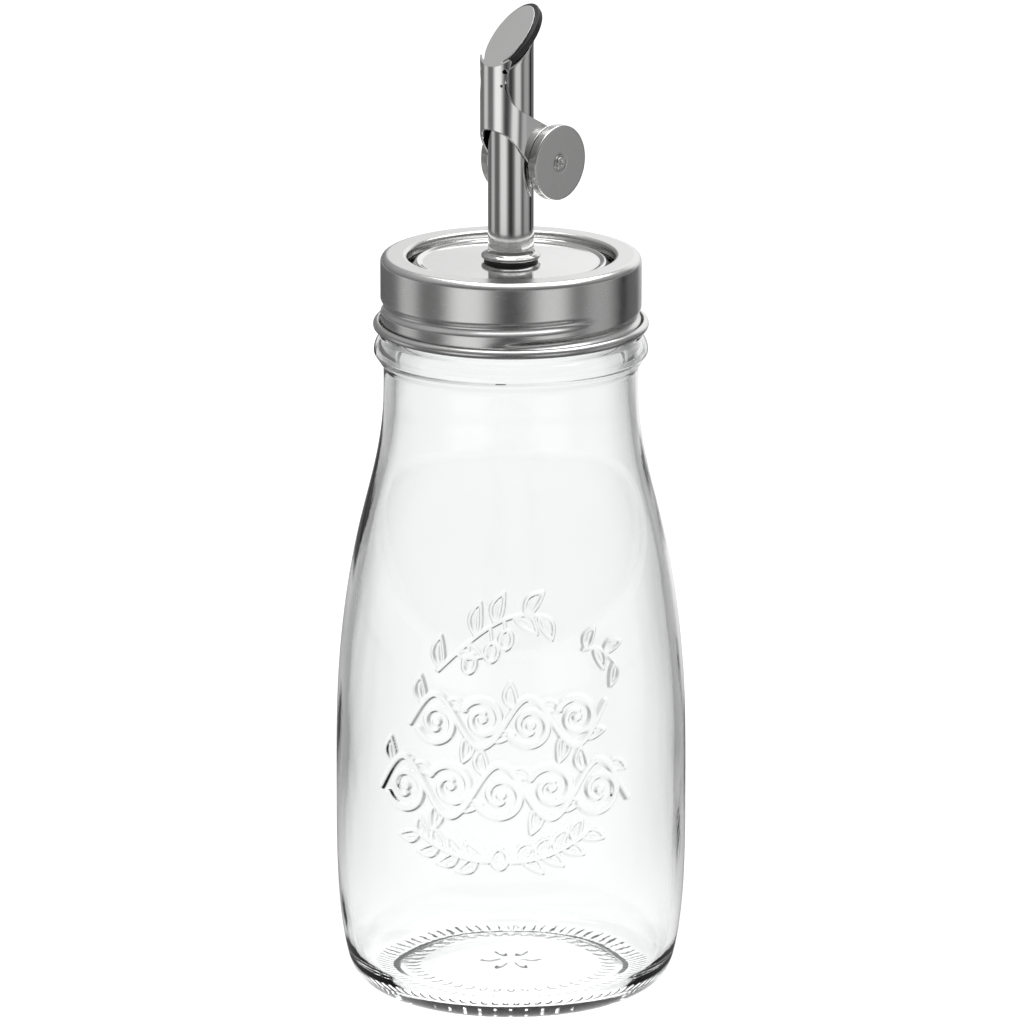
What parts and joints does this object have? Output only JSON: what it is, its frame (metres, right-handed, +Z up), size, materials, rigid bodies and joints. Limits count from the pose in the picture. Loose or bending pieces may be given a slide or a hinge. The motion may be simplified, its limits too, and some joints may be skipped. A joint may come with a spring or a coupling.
{
  "type": "glass oil bottle",
  "caption": "Clear glass oil bottle with a steel screw band, lid disc and a pour tube closed by a counterweighted flap.",
  "frame": {"origin": "centre of the ring the bottle stands on", "axes": "+Z up along the bottle's axis; the pourer's lip points 48.5 degrees from +X towards +Y; the relief on the glass faces -Y"},
  "size_m": [0.0786, 0.0786, 0.2237],
  "materials": {
    "glass": "clear, polished",
    "band_steel": "satin",
    "polished_steel": "polished",
    "flap_steel": "fine satin",
    "weight_steel": "turned, satin",
    "black_rubber": "matt",
    "seal_rubber": "soft, pale"
  },
  "bodies": {
    "bottle": {"glass_bottle": "glass"},
    "lid": {"lid_disc": "polished_steel", "lid_gasket": "seal_rubber", "pour_tube": "polished_steel", "collar_washer": "black_rubber", "tube_seal": "seal_rubber", "lock_nut": "polished_steel", "air_tube": "polished_steel", "pivot_stud_left": "polished_steel", "pivot_stud_right": "polished_steel"},
    "band": {"screw_band": "band_steel"},
    "flap": {"flap_lever": "flap_steel", "flap_pad": "black_rubber", "counterweight_left": "weight_steel", "counterweight_right": "weight_steel", "rivet_left": "polished_steel", "rivet_right": "polished_steel"}
  },
  "joints": [
    {"name": "lid_lift", "type": "slide", "parent": "bottle", "child": "lid", "axis": [0, 0, 1], "range_m": [0, 0.00567]},
    {"name": "band_turn", "type": "hinge", "parent": "lid", "child": "band", "pos_m": [0, 0, 0.16], "axis": [0, 0, 1], "range_deg": [0, 510]},
    {"name": "flap_swing", "type": "hinge", "parent": "lid", "child": "flap", "pos_m": [0.0008, 0.0009, 0.1925], "axis": [0.749, -0.6626, 0], "range_deg": [0, 60]}
  ],
  "couplings": [
    {"joint": "lid_lift", "follows": "band_turn", "m_per_rad": 0.00063662}
  ]
}
